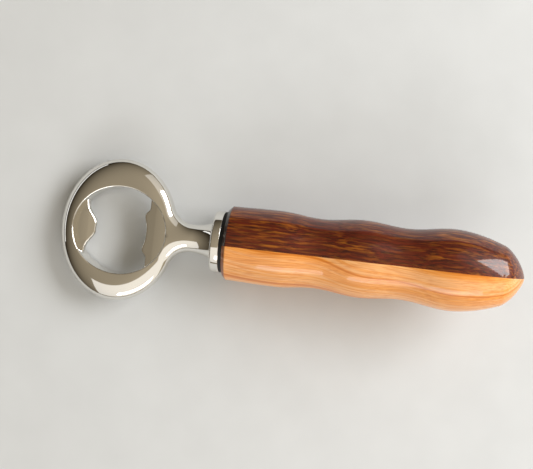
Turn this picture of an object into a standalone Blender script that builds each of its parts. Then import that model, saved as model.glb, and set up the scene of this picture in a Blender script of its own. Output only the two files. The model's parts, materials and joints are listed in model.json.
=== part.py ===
"""Souvenir bottle opener: a cast ring opener screwed into a turned handle of two glued woods.

Run with blender --background --python part.py, or from Blender's text editor.

The pieces are drawn on a bench line: the X axis is the long axis of the handle, x = 0 is the end face of
the wood, the handle runs to +X and the opener head to -X. Y runs across the ring and Z through its
thickness. The finished opener is then laid on the table (z = 0) the way the real one rests: the far end
of the ring and the end edge of the wood touch, so the head points slightly down.
"""

import math

import bmesh
import bpy
import numpy as np
from mathutils import Matrix, Vector

MM = 0.001
FIT_GAP = 0.3 * MM                 # air kept between two pieces that touch on the real object

# Ring of the opener head: an ellipse outside, a slightly longer ellipse as the hole
RING_CENTRE = -36.1 * MM
RING_HALF_LENGTH = 19.3 * MM       # along the handle
RING_HALF_WIDTH = 23.3 * MM        # across the handle
HEAD_HALF_THICKNESS = 4.6 * MM
EDGE_ROUND = 4.2 * MM              # radius of the rounded outer edge
HOLE_CENTRE = -35.2 * MM
HOLE_HALF_LENGTH = 15.4 * MM
HOLE_HALF_WIDTH = 14.1 * MM
HOLE_MOUTH_CHAMFER = 0.4 * MM

# Neck, flare and flange: radii about the long axis
NECK_RADIUS = 4.6 * MM
NECK_WAIST = -11.0 * MM            # where the neck is thinnest
NECK_FILLET = 7.0 * MM             # plan radius that runs the ring into the neck
FLARE_END = -4.3 * MM
FLARE_RADIUS = 6.6 * MM
FLANGE_RADIUS = 10.1 * MM
FLANGE_BACK = -1.2 * MM
FLANGE_ROUND = 0.7 * MM

# Lips inside the hole; distances along X are measured from the middle of the hole
LIP_HALF_THICKNESS = 1.2 * MM
LIP_EDGE_HALF_THICKNESS = 0.7 * MM
NEAR_CREASE = 11.3 * MM
NEAR_TOOTH = 7.25 * MM
NEAR_TOOTH_SPACING = 5.75 * MM
NEAR_HOLLOW = 8.15 * MM
NEAR_SHOULDER = 8.7 * MM
NEAR_SHOULDER_WIDTH = 9.0 * MM
NEAR_LIP_WIDTH = 12.3 * MM
FAR_CREASE = 11.4 * MM
FAR_NOSE = 8.65 * MM
FAR_NOSE_WIDTH = 2.3 * MM
FAR_SHOULDER = 11.5 * MM
FAR_SHOULDER_WIDTH = 6.8 * MM
FAR_LIP_WIDTH = 9.6 * MM
LIP_SEAT = 1.0 * MM                # how deep a lip runs into the ring's wall

# Screwed joint
THREAD_RADIUS = 4.76 * MM          # 3/8 inch stud
THREAD_DEPTH = 0.95 * MM
THREAD_PITCH = 25.4 / 16.0 * MM    # 16 turns to the inch
THREAD_PLAY = 0.4 * MM             # radial play between stud and insert
THREAD_TURNS = 9
THREAD_SEGMENTS = 20
STUD_END = 16.0 * MM
SHANK_RADIUS = 2.8 * MM
SHANK_END = -9.0 * MM
INSERT_RADIUS = 6.0 * MM
INSERT_KNURL = 0.25 * MM
INSERT_KNURL_COUNT = 24
INSERT_START = 0.6 * MM
INSERT_LENGTH = 19.0 * MM
WASHER_THICKNESS = 0.6 * MM
WASHER_RADIUS = 9.7 * MM

# Turned handle: swells and dips of the grip as (distance from the end face, radius)
HANDLE_END_CHAMFER = 1.1 * MM
GRIP_WAVE = (
    (0.0 * MM, 12.1 * MM),
    (16.5 * MM, 12.4 * MM),
    (30.0 * MM, 11.3 * MM),
    (44.0 * MM, 12.55 * MM),
    (57.5 * MM, 11.5 * MM),
    (73.0 * MM, 13.1 * MM),
)
NOSE_START = 88.2 * MM             # soft crease where the long taper turns into the nose
NOSE_RADIUS = 9.85 * MM
HANDLE_LENGTH = 95.7 * MM
TAPER_POWER = 1.8
NOSE_POWER = 1.4
NOSE_BLUNTNESS = 0.7              # below 1 rounds the tip
BORE_DEPTH = 24.0 * MM
GLUE_LINE_OFFSET = -0.7 * MM       # the glue plane leaves the axis by this much at the end face
TURNED_SEGMENTS = 48

COLOURS = {
    "polished_chrome": ((0.62, 0.60, 0.55, 1.0), 0.06, 1.0),
    "zinc_steel": ((0.45, 0.45, 0.44, 1.0), 0.35, 1.0),
    "black_fibre": ((0.01, 0.01, 0.01, 1.0), 0.70, 0.0),
    "brass": ((0.60, 0.42, 0.14, 1.0), 0.30, 1.0),
    "dark_wood": ((0.09, 0.02, 0.01, 1.0), 0.25, 0.0),
    "light_wood": ((0.75, 0.33, 0.09, 1.0), 0.25, 0.0),
}


def clear_scene():
    """Remove every object that the file starts with."""
    for thing in list(bpy.data.objects):
        bpy.data.objects.remove(thing, do_unlink=True)


def make_collection(name):
    """Return a new collection linked to the scene."""
    collection = bpy.data.collections.new(name)
    bpy.context.scene.collection.children.link(collection)
    return collection


def make_material(name):
    """Return the Principled material of one finish."""
    colour, roughness, metallic = COLOURS[name]
    material = bpy.data.materials.new(name)
    material.use_nodes = True
    shader = material.node_tree.nodes["Principled BSDF"]
    shader.inputs["Base Color"].default_value = colour
    shader.inputs["Roughness"].default_value = roughness
    shader.inputs["Metallic"].default_value = metallic
    return material


def add_object(name, mesh, collection, finish=None):
    """Link a mesh as a named object, with its finish."""
    thing = bpy.data.objects.new(name, mesh)
    collection.objects.link(thing)
    if finish is not None:
        mesh.materials.append(finish)
    return thing


def mesh_from(vertices, edges=(), faces=()):
    """Return a mesh made of the given vertices, edges and faces."""
    mesh = bpy.data.meshes.new("shape")
    mesh.from_pydata([tuple(v) for v in vertices], list(edges), list(faces))
    mesh.update()
    return mesh


def turned(name, profile, collection, finish=None, segments=TURNED_SEGMENTS, closed=False):
    """Turn a profile of (radius, x) points about the long axis with a Screw modifier.

    The profile runs down its outer side, from the +X end to the -X end. A closed profile is a ring
    that does not touch the axis.
    """
    points = [(radius, 0.0, x) for radius, x in profile]
    edges = [(i, i + 1) for i in range(len(points) - 1)]
    if closed:
        edges.append((len(points) - 1, 0))
    thing = add_object(name, mesh_from(points, edges), collection, finish)
    thing.rotation_euler = (0.0, math.radians(90.0), 0.0)
    screw = thing.modifiers.new("turn", "SCREW")
    screw.axis = "Z"
    screw.steps = segments
    screw.render_steps = segments
    screw.use_merge_vertices = True
    screw.merge_threshold = 0.01 * MM
    return thing


def prism(name, outline, low, high, collection, finish=None):
    """Extrude a flat outline of (x, y) points from z = low to z = high."""
    curve = bpy.data.curves.new(name, "CURVE")
    curve.dimensions = "2D"
    curve.fill_mode = "BOTH"
    curve.extrude = (high - low) / 2.0
    spline = curve.splines.new("POLY")
    spline.points.add(len(outline) - 1)
    for point, (x, y) in zip(spline.points, outline):
        point.co = (x, y, 0.0, 1.0)
    spline.use_cyclic_u = True
    return mesh_of_curve(name, curve, collection, finish, Vector((0.0, 0.0, (high + low) / 2.0)))


def mesh_of_curve(name, curve, collection, finish, place):
    """Replace a curve by a closed mesh object with welded caps."""
    holder = bpy.data.objects.new(name + "_curve", curve)
    holder.location = place
    collection.objects.link(holder)
    bpy.context.view_layer.update()
    seen = holder.evaluated_get(bpy.context.evaluated_depsgraph_get())
    mesh = bpy.data.meshes.new_from_object(seen)
    work = bmesh.new()
    work.from_mesh(mesh)
    bmesh.ops.remove_doubles(work, verts=work.verts, dist=0.001 * MM)
    bmesh.ops.recalc_face_normals(work, faces=work.faces)
    work.to_mesh(mesh)
    work.free()
    mesh.materials.clear()
    thing = add_object(name, mesh, collection, finish)
    thing.matrix_world = holder.matrix_world.copy()
    bpy.data.objects.remove(holder, do_unlink=True)
    return thing


def combine(target, operation, *others):
    """Add one EXACT Boolean modifier to the target for each other object."""
    for other in others:
        modifier = target.modifiers.new(operation.lower() + "_" + other.name, "BOOLEAN")
        modifier.operation = operation
        modifier.solver = "EXACT"
        modifier.object = other
        other.hide_render = True
        other.display_type = "WIRE"


def ring_fillet_centre():
    """Return the x of the fillet circle that touches both the ring's ellipse and the neck's side."""
    angles = np.linspace(0.0, math.pi / 2.0, 2001)
    ellipse_x = RING_CENTRE + RING_HALF_LENGTH * np.cos(angles)
    ellipse_y = RING_HALF_WIDTH * np.sin(angles)
    centre_y = NECK_RADIUS + NECK_FILLET
    low, high = RING_CENTRE + RING_HALF_LENGTH, 0.0
    for _ in range(40):
        middle = (low + high) / 2.0
        distance = np.hypot(ellipse_x - middle, ellipse_y - centre_y).min()
        if distance < NECK_FILLET:
            low = middle
        else:
            high = middle
    nearest = np.argmin(np.hypot(ellipse_x - high, ellipse_y - centre_y))
    return high, angles[nearest]


def head_outline(inset):
    """Return the plan outline of ring and neck, moved inwards by inset.

    The far side is the ellipse, then an arc of the fillet circle on each side runs down to the neck,
    and a small half circle closes the neck inside the flare.
    """
    fillet_x, touch = ring_fillet_centre()
    fillet_y = NECK_RADIUS + NECK_FILLET
    points = []
    for angle in np.linspace(touch, math.pi, 30):
        slope = np.array((RING_HALF_WIDTH * math.cos(angle), RING_HALF_LENGTH * math.sin(angle)))
        normal = slope / np.linalg.norm(slope)
        points.append((RING_CENTRE + RING_HALF_LENGTH * math.cos(angle) - inset * normal[0],
                       RING_HALF_WIDTH * math.sin(angle) - inset * normal[1]))
    first = math.atan2(points[0][1] - fillet_y, points[0][0] - fillet_x)
    arc = []
    for angle in np.linspace(-math.pi / 2.0, first, 8)[:-1]:
        arc.append((fillet_x + (NECK_FILLET + inset) * math.cos(angle),
                    fillet_y + (NECK_FILLET + inset) * math.sin(angle)))
    neck_half_width = NECK_RADIUS - inset
    cap = []
    for angle in np.linspace(0.0, math.pi / 2.0, 4)[:-1]:
        cap.append((fillet_x + neck_half_width * math.cos(angle), neck_half_width * math.sin(angle)))
    upper = cap + arc + points
    lower = [(x, -y) for x, y in reversed(upper[1:-1])]
    return upper + lower


def ring_body(collection, finish):
    """Make the solid pillow of ring and neck: its flat outline with a round bevel all along the edge."""
    curve = bpy.data.curves.new("ring_body", "CURVE")
    curve.dimensions = "2D"
    curve.fill_mode = "BOTH"
    curve.extrude = HEAD_HALF_THICKNESS - EDGE_ROUND
    curve.bevel_depth = EDGE_ROUND
    curve.bevel_resolution = 3
    outline = head_outline(EDGE_ROUND)
    spline = curve.splines.new("POLY")
    spline.points.add(len(outline) - 1)
    for point, (x, y) in zip(spline.points, outline):
        point.co = (x, y, 0.0, 1.0)
    spline.use_cyclic_u = True
    return mesh_of_curve("opener_head", curve, collection, finish, Vector())


def hole_cutter(collection):
    """Make the elliptical hole with a small chamfer at both mouths."""
    top = HEAD_HALF_THICKNESS
    beyond = 3.0 * MM
    lead = HOLE_MOUTH_CHAMFER
    wide = HOLE_HALF_WIDTH + lead + beyond
    profile = (
        (0.0, top + beyond),
        (wide, top + beyond),
        (HOLE_HALF_WIDTH, top - lead),
        (HOLE_HALF_WIDTH, -top + lead),
        (wide, -top - beyond),
        (0.0, -top - beyond),
    )
    cutter = turned("hole_cutter", profile, collection)
    cutter.rotation_euler = (0.0, 0.0, 0.0)
    cutter.location = (HOLE_CENTRE, 0.0, 0.0)
    cutter.scale = (HOLE_HALF_LENGTH / HOLE_HALF_WIDTH, 1.0, 1.0)
    return cutter


def neck_and_flange(collection):
    """Turn the neck, its trumpet flare and the flange that bears on the handle."""
    flare_length = FLARE_END - NECK_WAIST
    rise = FLARE_RADIUS - NECK_RADIUS
    flare = []
    for share in np.linspace(1.0, 0.0, 7):
        flare.append((NECK_RADIUS + rise * share ** 2, NECK_WAIST + flare_length * share))
    profile = [(0.0, FLANGE_BACK), (FLANGE_RADIUS - FLANGE_ROUND / 2.0, FLANGE_BACK),
               (FLANGE_RADIUS, FLANGE_BACK - FLANGE_ROUND / 2.0)]
    for angle in np.linspace(0.0, math.pi / 2.0, 4):
        profile.append((FLANGE_RADIUS - FLANGE_ROUND * (1.0 - math.cos(angle)),
                        FLARE_END + FLANGE_ROUND * (1.0 - math.sin(angle))))
    profile += flare
    profile += [(NECK_RADIUS - 0.25 * MM, NECK_WAIST - 5.0 * MM), (0.0, NECK_WAIST - 5.0 * MM)]
    return turned("neck_and_flange", profile, collection, segments=40)


def seat_arc(first_y, side):
    """Return the hidden rim of a lip: an arc inside the ring's wall, from first_y to the middle."""
    half_length = HOLE_HALF_LENGTH + LIP_SEAT
    half_width = HOLE_HALF_WIDTH + LIP_SEAT
    angles = np.linspace(math.asin(first_y / half_width), 0.0, 8)
    return [(side * half_length * math.cos(angle), half_width * math.sin(angle)) for angle in angles]


def mirrored_outline(half):
    """Mirror half an outline, which starts and ends on the middle line, and place it in the hole."""
    return [(HOLE_CENTRE + x, y) for x, y in half + [(x, -y) for x, y in reversed(half[1:-1])]]


def near_lip_outline():
    """Return the hooked lip on the handle's side: two teeth with a shallow hollow between them."""
    half = [
        (NEAR_HOLLOW, 0.0),
        (NEAR_HOLLOW, 0.35 * NEAR_TOOTH_SPACING),
        (NEAR_TOOTH + 0.15 * MM, 0.86 * NEAR_TOOTH_SPACING),
        (NEAR_TOOTH, NEAR_TOOTH_SPACING),
        (NEAR_TOOTH + 0.25 * MM, 1.16 * NEAR_TOOTH_SPACING),
        (NEAR_SHOULDER, NEAR_SHOULDER_WIDTH - 0.8 * MM),
        (NEAR_SHOULDER + 0.1 * MM, NEAR_SHOULDER_WIDTH),
        (NEAR_SHOULDER, NEAR_LIP_WIDTH),
    ]
    return mirrored_outline(half + seat_arc(NEAR_LIP_WIDTH, 1.0))


def far_lip_outline():
    """Return the pressing lip at the far side: a blunt nose with sloping shoulders."""
    half = [
        (-FAR_NOSE, 0.0),
        (-FAR_NOSE, FAR_NOSE_WIDTH),
        (-FAR_NOSE - 0.5 * MM, FAR_NOSE_WIDTH + 1.4 * MM),
        (-FAR_SHOULDER, FAR_SHOULDER_WIDTH),
        (-FAR_SHOULDER - 0.1 * MM, FAR_SHOULDER_WIDTH + 1.0 * MM),
        (-FAR_SHOULDER - 0.4 * MM, FAR_LIP_WIDTH),
    ]
    return mirrored_outline(half + seat_arc(FAR_LIP_WIDTH, -1.0))


def lip(name, outline, side, crease, tip, collection):
    """Cut a lip from its plan outline with a wedge, so that it thins from the crease to its edge."""
    plate = prism(name, outline, -LIP_HALF_THICKNESS, LIP_HALF_THICKNESS, collection)
    wall = HOLE_HALF_LENGTH + 2.0 * LIP_SEAT
    start = tip - 1.0 * MM
    edge = LIP_EDGE_HALF_THICKNESS
    full = LIP_HALF_THICKNESS + 1.0 * MM
    half = [(start, edge), (tip, edge), (crease, LIP_HALF_THICKNESS), (crease + 0.01 * MM, full), (wall, full)]
    outline_xz = [(HOLE_CENTRE + side * x, z) for x, z in half + [(x, -z) for x, z in reversed(half)]]
    wedge = prism(name + "_wedge", outline_xz, -14.0 * MM, 14.0 * MM, collection)
    wedge.rotation_euler = (math.radians(90.0), 0.0, 0.0)
    wedge.location = Vector()
    combine(plate, "INTERSECT", wedge)
    return plate


def opener_head(parts, cutters, finish):
    """Assemble the cast head: ring with neck, flare, flange and two lips, bored for the stud."""
    head = ring_body(parts, finish)
    combine(head, "DIFFERENCE", hole_cutter(cutters))
    near = lip("near_lip", near_lip_outline(), 1.0, NEAR_CREASE, NEAR_TOOTH, cutters)
    far = lip("far_lip", far_lip_outline(), -1.0, FAR_CREASE, FAR_NOSE, cutters)
    combine(head, "UNION", near, far, neck_and_flange(cutters))
    bore = SHANK_RADIUS + FIT_GAP
    profile = ((0.0, FLANGE_BACK + 2.0 * MM), (bore, FLANGE_BACK + 2.0 * MM),
               (bore, SHANK_END - FIT_GAP), (0.0, SHANK_END - FIT_GAP))
    combine(head, "DIFFERENCE", turned("stud_bore", profile, cutters, segments=24))
    return head


def thread_mesh(start, turns, crest):
    """Return a closed mesh of a right-hand thread that runs along +X from start.

    Four lines of points follow the helix in each pitch (flat root, flank, flat crest, flank), and the
    last point of a turn joins the line that lies one pitch further on. A fan closes each end.
    """
    levels = (crest - THREAD_DEPTH, crest - THREAD_DEPTH, crest, crest)
    shares = (0.0, 0.2, 0.5, 0.7)
    lines = len(levels) * turns + 1
    points = []
    for line in range(lines):
        turn, step = divmod(line, len(levels))
        for segment in range(THREAD_SEGMENTS):
            angle = 2.0 * math.pi * segment / THREAD_SEGMENTS
            x = start + THREAD_PITCH * (turn + shares[step] + segment / THREAD_SEGMENTS)
            points.append((x, levels[step] * math.cos(angle), levels[step] * math.sin(angle)))
    faces = []
    for line in range(lines - 1):
        for segment in range(THREAD_SEGMENTS):
            after = line * THREAD_SEGMENTS + segment + 1
            above = after + THREAD_SEGMENTS
            if segment == THREAD_SEGMENTS - 1:
                after = (line + len(levels)) * THREAD_SEGMENTS
                above = after + THREAD_SEGMENTS
            if above >= len(points):
                continue
            here = line * THREAD_SEGMENTS + segment
            faces.append((here, after, above, here + THREAD_SEGMENTS))
    work = bmesh.new()
    corners = [work.verts.new(point) for point in points]
    for face in faces:
        work.faces.new([corners[index] for index in face])
    ends = (start + THREAD_PITCH / 2.0, start + THREAD_PITCH * (turns + 0.5))
    for end in ends:
        hub = work.verts.new((end, 0.0, 0.0))
        rim = [edge for edge in work.edges if edge.is_boundary and is_near(edge, end)]
        for edge in rim:
            work.faces.new((edge.verts[0], edge.verts[1], hub))
    bmesh.ops.recalc_face_normals(work, faces=work.faces)
    mesh = bpy.data.meshes.new("thread")
    work.to_mesh(mesh)
    work.free()
    return mesh


def thread_start():
    """Return the x where the stud's thread begins; it ends at the tip of the stud."""
    return STUD_END - THREAD_PITCH * (THREAD_TURNS + 1)


def is_near(edge, x):
    """Tell whether an edge lies within one pitch of x."""
    return all(abs(corner.co.x - x) < 1.01 * THREAD_PITCH for corner in edge.verts)


def threaded_stud(parts, cutters, finish):
    """Make the steel stud: a plain shank set in the head and a threaded end for the handle."""
    stud = add_object("threaded_stud", thread_mesh(thread_start(), THREAD_TURNS, THREAD_RADIUS), parts, finish)
    core = THREAD_RADIUS - THREAD_DEPTH - 0.1 * MM
    collar_back = FLANGE_BACK + FIT_GAP
    profile = (
        (0.0, STUD_END), (core - 0.6 * MM, STUD_END), (core, STUD_END - 0.6 * MM),
        (core, collar_back), (SHANK_RADIUS, collar_back), (SHANK_RADIUS, SHANK_END), (0.0, SHANK_END),
    )
    combine(stud, "UNION", turned("stud_core", profile, cutters, segments=THREAD_SEGMENTS))
    return stud


def flange_washer(parts, finish):
    """Make the thin washer that lies between the flange and the wood."""
    front = FLANGE_BACK + FIT_GAP
    back = front + WASHER_THICKNESS
    inner = THREAD_RADIUS + FIT_GAP
    profile = ((WASHER_RADIUS, back), (WASHER_RADIUS, front), (inner, front), (inner, back))
    return turned("flange_washer", profile, parts, finish, segments=40, closed=True)


def threaded_insert(parts, cutters, finish):
    """Make the brass insert glued in the wood, with a knurled outside and a threaded bore."""
    outline = []
    for tooth in range(2 * INSERT_KNURL_COUNT):
        angle = math.pi * tooth / INSERT_KNURL_COUNT
        radius = INSERT_RADIUS - (tooth % 2) * INSERT_KNURL
        outline.append((radius * math.cos(angle), radius * math.sin(angle)))
    insert = prism("threaded_insert", outline, INSERT_START, INSERT_START + INSERT_LENGTH, parts, finish)
    insert.rotation_euler = (0.0, math.radians(90.0), 0.0)
    insert.location = (INSERT_START + INSERT_LENGTH / 2.0, 0.0, 0.0)
    turns = int(INSERT_LENGTH / THREAD_PITCH) + 4
    start = thread_start() - 2.0 * THREAD_PITCH
    cutter = add_object("insert_thread", thread_mesh(start, turns, THREAD_RADIUS + THREAD_PLAY), cutters)
    combine(insert, "DIFFERENCE", cutter)
    return insert


def grip_radius(x):
    """Return the radius of the turned handle at distance x from its end face.

    Neighbouring swells and dips are joined by half a cosine wave. Past the last swell the radius falls
    as a power of the distance, first down the long taper and then, more steeply, down the nose.
    """
    last_x, last_radius = GRIP_WAVE[-1]
    if x >= NOSE_START:
        share = min(1.0, (x - NOSE_START) / (HANDLE_LENGTH - NOSE_START))
        return NOSE_RADIUS * (1.0 - share ** NOSE_POWER) ** NOSE_BLUNTNESS
    if x >= last_x:
        share = (x - last_x) / (NOSE_START - last_x)
        return last_radius - (last_radius - NOSE_RADIUS) * share ** TAPER_POWER
    for (x0, radius0), (x1, radius1) in zip(GRIP_WAVE, GRIP_WAVE[1:]):
        if x <= x1:
            swing = (1.0 - math.cos(math.pi * (x - x0) / (x1 - x0))) / 2.0
            return radius0 + (radius1 - radius0) * swing
    return last_radius


def handle_profile():
    """Return the handle's turned profile, from the tip down to the bore in its end face."""
    bore = INSERT_RADIUS + FIT_GAP
    nose = np.cos(np.linspace(0.0, math.pi / 2.0, 9))
    stations = list(NOSE_START + (HANDLE_LENGTH - NOSE_START) * nose)
    stations += list(np.linspace(NOSE_START, GRIP_WAVE[-1][0], 6))[1:]
    stations += list(np.linspace(GRIP_WAVE[-1][0], HANDLE_END_CHAMFER, 22))[1:]
    profile = [(grip_radius(x), x) for x in stations]
    profile.append((grip_radius(0.0) - HANDLE_END_CHAMFER, 0.0))
    profile += [(bore, 0.0), (bore, BORE_DEPTH), (0.0, BORE_DEPTH)]
    return profile


def handle_half(name, side, parts, cutters, finish):
    """Cut one wood of the handle from the turned blank, on its own side of the glue plane."""
    half = turned(name, handle_profile(), parts, finish)
    size = 2.0 * HANDLE_LENGTH
    work = bmesh.new()
    bmesh.ops.create_cube(work, size=size)
    bmesh.ops.translate(work, verts=work.verts, vec=(0.0, side * (size / 2.0 + FIT_GAP / 2.0), 0.0))
    mesh = bpy.data.meshes.new("keep")
    work.to_mesh(mesh)
    work.free()
    keep = add_object(name + "_keep", mesh, cutters)
    keep.location = (0.0, GLUE_LINE_OFFSET, 0.0)
    keep.rotation_euler = (0.0, 0.0, -math.atan(GLUE_LINE_OFFSET / HANDLE_LENGTH))
    combine(half, "INTERSECT", keep)
    return half


def corners_of(things):
    """Return the evaluated vertices of some objects in world space, one row each."""
    depsgraph = bpy.context.evaluated_depsgraph_get()
    rows = []
    for thing in things:
        seen = thing.evaluated_get(depsgraph)
        mesh = seen.to_mesh()
        rows += [tuple(seen.matrix_world @ vertex.co) for vertex in mesh.vertices]
        seen.to_mesh_clear()
    return np.array(rows)


def lay_on_table(head, wood, everything):
    """Tip the opener until head and wood touch the table together, then centre it above the origin."""
    rest = bpy.data.objects.new("lying_on_table", None)
    bpy.context.scene.collection.objects.link(rest)
    bpy.context.view_layer.update()
    head_corners = corners_of([head])
    wood_corners = corners_of(wood)
    low, high = 0.0, math.radians(15.0)
    for _ in range(40):
        tilt = (low + high) / 2.0
        down = np.array((math.sin(tilt), 0.0, math.cos(tilt)))
        if (head_corners @ down).min() > (wood_corners @ down).min():
            low = tilt
        else:
            high = tilt
    turn = Matrix.Rotation(-tilt, 4, "Y")
    corners = corners_of(everything) @ np.array(turn.to_3x3()).T
    middle = (corners.min(axis=0) + corners.max(axis=0)) / 2.0
    rest.matrix_world = Matrix.Translation((-middle[0], 0.0, -corners[:, 2].min())) @ turn
    return rest


def main():
    """Build every piece and lay the finished opener on the table."""
    clear_scene()
    parts = make_collection("bottle_opener")
    cutters = make_collection("cutters")
    finish = {name: make_material(name) for name in COLOURS}
    head = opener_head(parts, cutters, finish["polished_chrome"])
    stud = threaded_stud(parts, cutters, finish["zinc_steel"])
    washer = flange_washer(parts, finish["black_fibre"])
    insert = threaded_insert(parts, cutters, finish["brass"])
    dark = handle_half("handle_dark_half", 1.0, parts, cutters, finish["dark_wood"])
    light = handle_half("handle_light_half", -1.0, parts, cutters, finish["light_wood"])
    bpy.context.view_layer.update()
    pieces = [head, stud, washer, insert, dark, light]
    rest = lay_on_table(head, [dark, light], pieces)
    for thing in list(parts.objects) + list(cutters.objects):
        thing.parent = rest
    bpy.context.view_layer.update()


if __name__ == "__main__":
    main()
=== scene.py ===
"""Looks of a souvenir bottle opener: a polished cast ring screwed into a turned handle of two glued woods.

Every piece is drawn on a bench line: X runs along the handle, x = 0 is the wood's end face, the head lies at -X,
Y runs across the ring and Z through its thickness. The screw joint of the packed model says where that line lies
above the table, and carries each finished mesh there. Lengths are in metres.
"""

import json
import math

import bmesh
import bpy
import numpy as np
from bpy.props import FloatProperty, FloatVectorProperty, IntProperty, PointerProperty
from mathutils import Matrix, Vector


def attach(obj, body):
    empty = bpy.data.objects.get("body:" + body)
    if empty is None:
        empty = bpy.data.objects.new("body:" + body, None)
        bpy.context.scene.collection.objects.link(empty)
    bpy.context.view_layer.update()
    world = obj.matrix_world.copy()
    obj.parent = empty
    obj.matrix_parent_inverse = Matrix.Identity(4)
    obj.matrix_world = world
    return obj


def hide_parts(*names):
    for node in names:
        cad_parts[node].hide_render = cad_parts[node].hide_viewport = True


bl_info = {
    "name": "Souvenir Bottle Opener",
    "version": (1, 0, 0),
    "blender": (4, 5, 0),
    "location": "3D View > Sidebar > Opener",
    "description": "Builds a cast ring bottle opener with a turned handle of two woods",
    "category": "Object",
}

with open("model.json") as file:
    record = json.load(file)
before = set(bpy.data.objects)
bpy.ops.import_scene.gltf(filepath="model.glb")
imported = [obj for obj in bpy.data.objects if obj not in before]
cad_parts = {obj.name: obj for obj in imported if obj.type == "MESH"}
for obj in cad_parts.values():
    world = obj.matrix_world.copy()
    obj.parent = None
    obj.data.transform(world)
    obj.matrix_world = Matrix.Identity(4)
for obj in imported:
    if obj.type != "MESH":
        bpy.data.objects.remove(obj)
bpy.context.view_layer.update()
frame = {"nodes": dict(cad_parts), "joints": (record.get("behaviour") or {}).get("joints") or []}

MM = 0.001
PER_MM = 1000.0                    # from metres to millimetres, for patterns sized in millimetres

screw_joint = next(joint for joint in frame["joints"] if joint["name"] == "head_turn")
ORIGIN = np.array(screw_joint["pos_m"])
ALONG = -np.array(screw_joint["axis"])
ACROSS = np.array((0.0, 1.0, 0.0))
BENCH = np.array((ALONG, ACROSS, np.cross(ALONG, ACROSS)))


def bench_box(*names):
    """Return the corners of some CAD nodes' box on the bench line."""
    rows = []
    for mesh in (frame["nodes"][name].data for name in names):
        corners = np.empty(3 * len(mesh.vertices), np.float32)
        mesh.vertices.foreach_get("co", corners)
        rows.append((corners.reshape(-1, 3).astype(float) - ORIGIN) @ BENCH.T)
    corners = np.concatenate(rows)
    return corners.min(axis=0), corners.max(axis=0)


HEAD_LOW, HEAD_HIGH = bench_box("opener_head")
WOOD_HIGH = bench_box("handle_dark_half", "handle_light_half")[1]
STUD_LOW, STUD_HIGH = bench_box("threaded_stud")
INSERT_LOW, INSERT_HIGH = bench_box("threaded_insert")

MERGE_GAP = 0.004 * MM             # points closer than this are one point
NECK_RAYS = 17                     # rays of the casting that end on the neck's middle line
FAR_EDGE_ROUND = 0.8 * MM          # broad round on the far lip's nose
NEAR_EDGE_ROUND = 0.3 * MM
FLARE_HOLLOW = 0.35 * MM           # hollow round where the flare meets the flange
FLANGE_BACK_ROUND = 0.3 * MM
TIP_TAPER = 0.35 * MM              # how much the stud's tip is drawn in below the thread's root
WASHER_ROUND = 0.15 * MM
GLUE_GAP = 0.1 * MM                # glue round the insert

# Camera: above the ring, moved and rolled like a hand-held one; the aim is given along its own axes
RING_REFERENCE = (-35.6 * MM, 0.0, 0.0)
EYE_FROM_RING = (35.0 * MM, 14.0 * MM, 330.0 * MM)
CAMERA_ROLL = math.radians(6.69)
AIM_RIGHT, AIM_DOWN = 48.1 * MM, 1.64 * MM
CAMERA_LENS = 67.25                # millimetres, on a sensor 36 mm wide

# Softboxes: name, azimuth and elevation in degrees, distance, width and height in metres, power in watts
SOFTBOXES = (
    ("key_softbox", -82.0, 39.0, 0.8, 1.45, 1.0, 3.0),
    ("key_window", -80.0, 30.0, 0.79, 0.62, 0.22, 1.6),
    ("side_softbox", 36.0, 37.0, 0.8, 1.1, 0.8, 0.9),
    ("side_window", 27.0, 36.0, 0.79, 0.56, 0.42, 6.6),
    ("rim_strip", 160.0, 8.0, 0.9, 1.1, 0.1, 0.4),
)
BRIGHT_WAY = (0.62, -0.25, 0.74)   # the side of the room that is brightest


def linear(hex_colour):
    """Turn an sRGB hex colour into linear red, green and blue."""
    shares = [int(hex_colour[place:place + 2], 16) / 255.0 for place in (1, 3, 5)]
    return [share / 12.92 if share <= 0.04045 else ((share + 0.055) / 1.055) ** 2.4 for share in shares]


def length(name, description, default):
    """Return a property that holds a length in metres."""
    return FloatProperty(name=name, description=description, default=default, subtype="DISTANCE", unit="LENGTH",
                         precision=5)


def colour(name, description, hex_colour):
    """Return a property that holds a linear colour."""
    return FloatVectorProperty(name=name, description=description, default=linear(hex_colour), subtype="COLOR",
                               size=3, min=0.0, max=1.0)


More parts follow.
